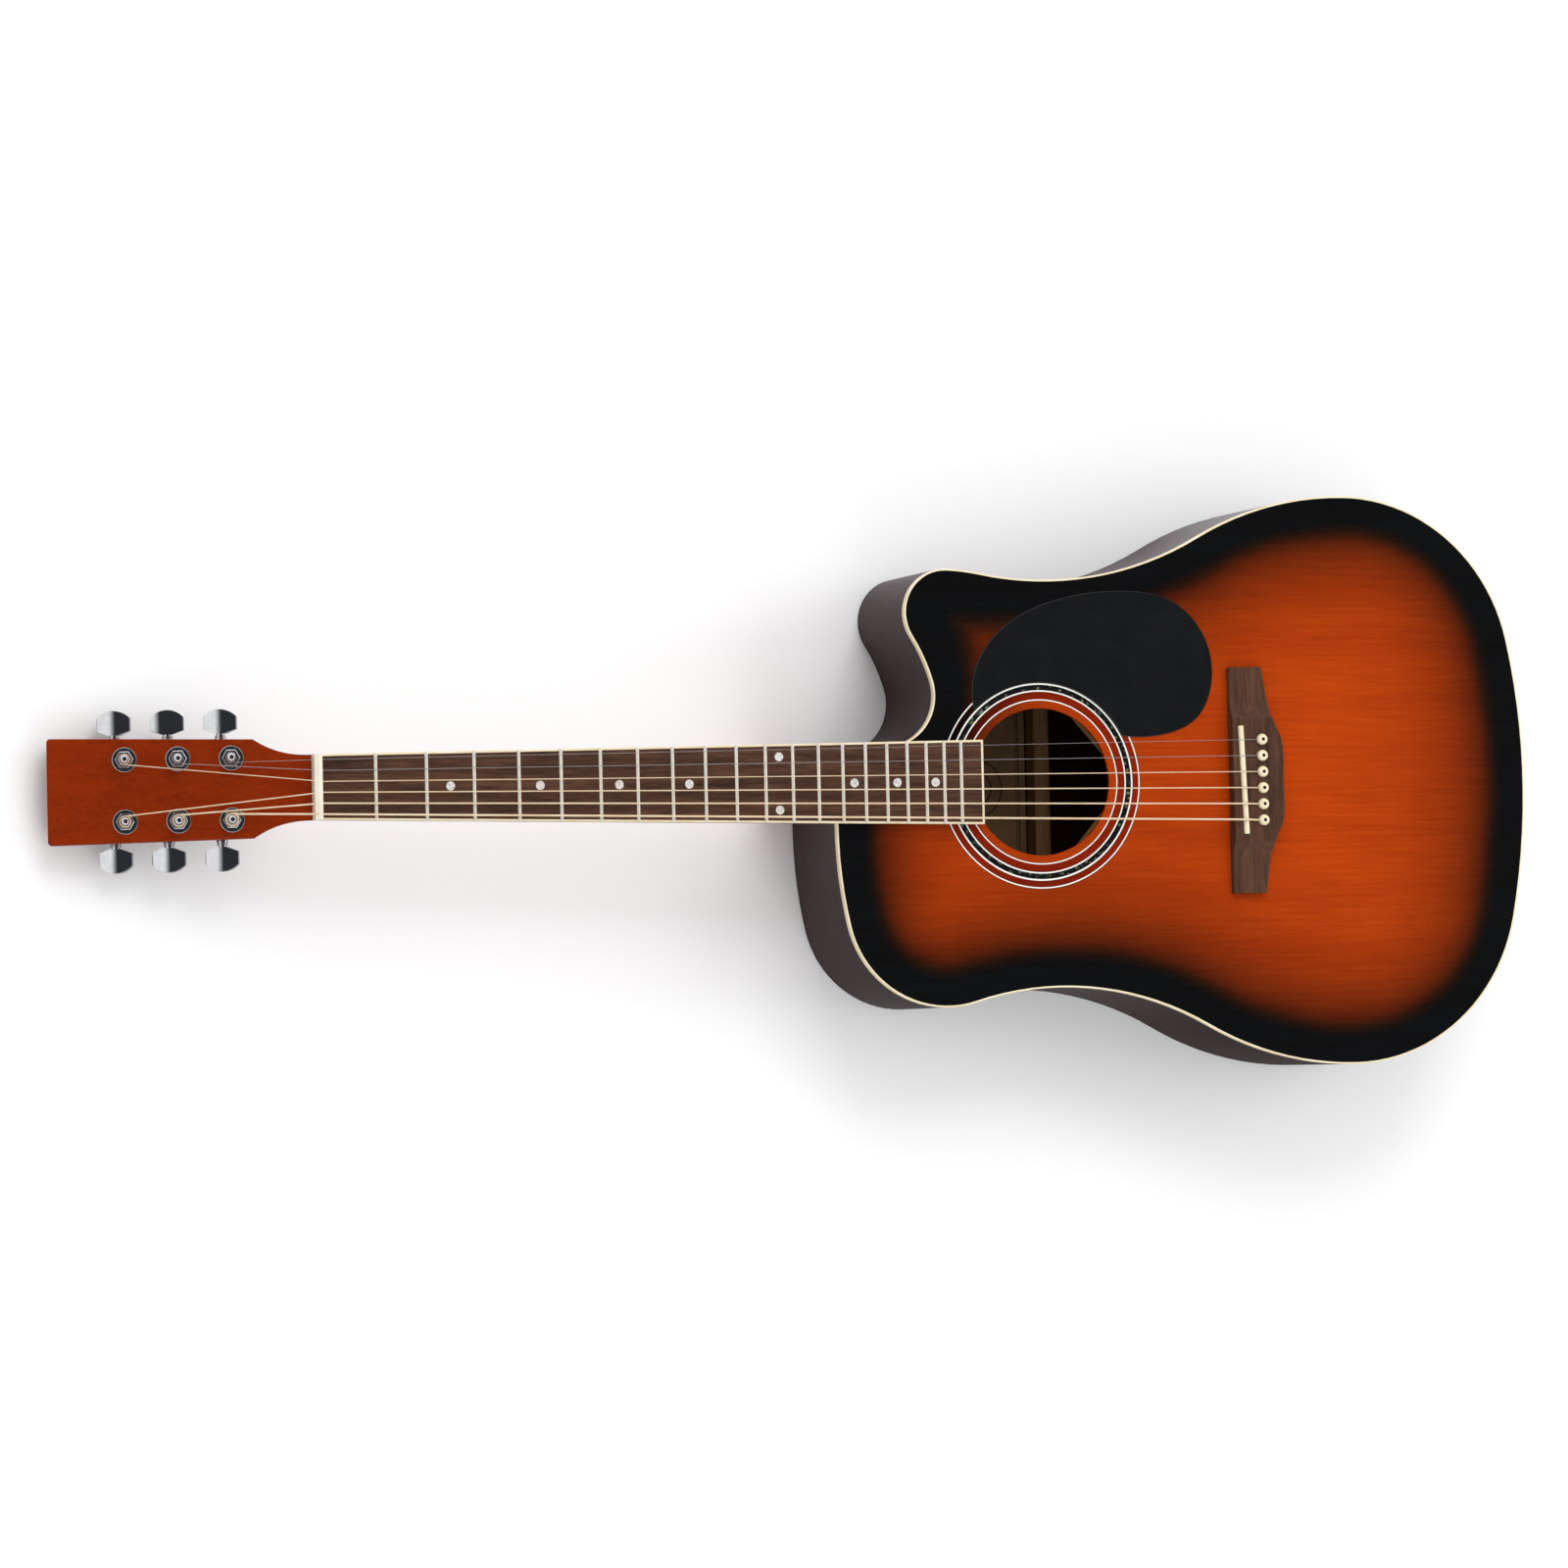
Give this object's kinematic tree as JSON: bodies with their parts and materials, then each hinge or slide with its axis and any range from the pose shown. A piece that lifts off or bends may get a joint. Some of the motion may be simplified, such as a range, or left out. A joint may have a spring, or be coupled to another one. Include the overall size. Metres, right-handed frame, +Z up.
{
  "type": "acoustic guitar",
  "caption": "Full-size steel-string acoustic guitar with a single-cutaway dreadnought body, pickguard, pinned bridge and geared tuners on a tilted headstock.",
  "frame": {"origin": "centre of the flat back's outer face, on which the guitar lies", "axes": "+Z up out of the back, +X from the headstock to the tail, +Y to the treble side with the cutaway"},
  "size_m": [1.0505, 0.392, 0.1184],
  "materials": {
    "spruce_top": "glossy lacquer",
    "side_wood": "glossy lacquer",
    "neck_wood": "satin lacquer",
    "inner_wood": "bare",
    "rosewood": "oiled",
    "cream_plastic": "polished",
    "black_plastic": "satin",
    "rosette_inlay": "under lacquer",
    "pearl": "polished",
    "label_paper": "matte",
    "fret_metal": "polished",
    "plain_steel": "plain",
    "string_bronze": "wound",
    "brass_fittings": "plain",
    "chrome": "polished"
  },
  "bodies": {
    "guitar": {"soundboard": "spruce_top", "back": "side_wood", "side_bass": "side_wood", "side_treble": "side_wood", "neck": "neck_wood", "neck_block": "inner_wood", "tail_block": "inner_wood", "linings": "inner_wood", "top_braces": "inner_wood", "back_braces": "inner_wood", "bridge_plate": "inner_wood", "fretboard": "rosewood", "bridge": "rosewood", "binding": "cream_plastic", "fretboard_binding": "cream_plastic", "nut": "cream_plastic", "saddle": "cream_plastic", "bridge_pins": "cream_plastic", "pin_dots": "black_plastic", "side_dots": "black_plastic", "end_pin": "black_plastic", "pickguard": "black_plastic", "rosette": "rosette_inlay", "position_dots": "pearl", "paper_label": "label_paper", "frets": "fret_metal", "strings_plain": "plain_steel", "strings_wound": "string_bronze", "string_ball_ends": "brass_fittings", "truss_rod": "plain_steel", "tuner_housings": "chrome", "tuner_covers": "chrome", "tuner_bushings": "chrome", "tuner_washers": "chrome", "tuner_screws": "chrome"},
    "button_1": {"tuner_button_1": "chrome", "worm_shaft_1": "chrome"},
    "post_1": {"string_post_1": "chrome", "post_gear_1": "brass_fittings"},
    "button_2": {"tuner_button_2": "chrome", "worm_shaft_2": "chrome"},
    "post_2": {"string_post_2": "chrome", "post_gear_2": "brass_fittings"},
    "button_3": {"tuner_button_3": "chrome", "worm_shaft_3": "chrome"},
    "post_3": {"string_post_3": "chrome", "post_gear_3": "brass_fittings"},
    "button_4": {"tuner_button_4": "chrome", "worm_shaft_4": "chrome"},
    "post_4": {"string_post_4": "chrome", "post_gear_4": "brass_fittings"},
    "button_5": {"tuner_button_5": "chrome", "worm_shaft_5": "chrome"},
    "post_5": {"string_post_5": "chrome", "post_gear_5": "brass_fittings"},
    "button_6": {"tuner_button_6": "chrome", "worm_shaft_6": "chrome"},
    "post_6": {"string_post_6": "chrome", "post_gear_6": "brass_fittings"},
    "truss_nut": {"truss_rod_nut": "plain_steel"}
  },
  "joints": [
    {"name": "button_turn_1", "type": "hinge", "parent": "guitar", "child": "button_1", "pos_m": [-0.67205, 0.0202, 0.03521], "axis": [0, 1, 0], "continuous": true},
    {"name": "post_turn_1", "type": "hinge", "parent": "guitar", "child": "post_1", "pos_m": [-0.67134, 0.0202, 0.05581], "axis": [-0.2924, 0, 0.9563], "continuous": true},
    {"name": "button_turn_2", "type": "hinge", "parent": "guitar", "child": "button_2", "pos_m": [-0.70514, 0.0202, 0.02509], "axis": [0, 1, 0], "continuous": true},
    {"name": "post_turn_2", "type": "hinge", "parent": "guitar", "child": "post_2", "pos_m": [-0.70443, 0.0202, 0.04569], "axis": [-0.2924, 0, 0.9563], "continuous": true},
    {"name": "button_turn_3", "type": "hinge", "parent": "guitar", "child": "button_3", "pos_m": [-0.73823, 0.0202, 0.01497], "axis": [0, 1, 0], "continuous": true},
    {"name": "post_turn_3", "type": "hinge", "parent": "guitar", "child": "post_3", "pos_m": [-0.73752, 0.0202, 0.03558], "axis": [-0.2924, 0, 0.9563], "continuous": true},
    {"name": "button_turn_4", "type": "hinge", "parent": "guitar", "child": "button_4", "pos_m": [-0.73823, -0.0202, 0.01497], "axis": [0, -1, 0], "continuous": true},
    {"name": "post_turn_4", "type": "hinge", "parent": "guitar", "child": "post_4", "pos_m": [-0.73752, -0.0202, 0.03558], "axis": [-0.2924, 0, 0.9563], "continuous": true},
    {"name": "button_turn_5", "type": "hinge", "parent": "guitar", "child": "button_5", "pos_m": [-0.70514, -0.0202, 0.02509], "axis": [0, -1, 0], "continuous": true},
    {"name": "post_turn_5", "type": "hinge", "parent": "guitar", "child": "post_5", "pos_m": [-0.70443, -0.0202, 0.04569], "axis": [-0.2924, 0, 0.9563], "continuous": true},
    {"name": "button_turn_6", "type": "hinge", "parent": "guitar", "child": "button_6", "pos_m": [-0.67205, -0.0202, 0.03521], "axis": [0, -1, 0], "continuous": true},
    {"name": "post_turn_6", "type": "hinge", "parent": "guitar", "child": "post_6", "pos_m": [-0.67134, -0.0202, 0.05581], "axis": [-0.2924, 0, 0.9563], "continuous": true},
    {"name": "truss_nut_turn", "type": "hinge", "parent": "guitar", "child": "truss_nut", "pos_m": [-0.19948, 0, 0.08515], "axis": [0.9986, 0, 0.0523], "range_deg": [-180, 180]}
  ],
  "couplings": [
    {"joint": "post_turn_1", "follows": "button_turn_1", "ratio": 0.071429},
    {"joint": "post_turn_2", "follows": "button_turn_2", "ratio": 0.071429},
    {"joint": "post_turn_3", "follows": "button_turn_3", "ratio": 0.071429},
    {"joint": "post_turn_4", "follows": "button_turn_4", "ratio": -0.071429},
    {"joint": "post_turn_5", "follows": "button_turn_5", "ratio": -0.071429},
    {"joint": "post_turn_6", "follows": "button_turn_6", "ratio": -0.071429}
  ]
}
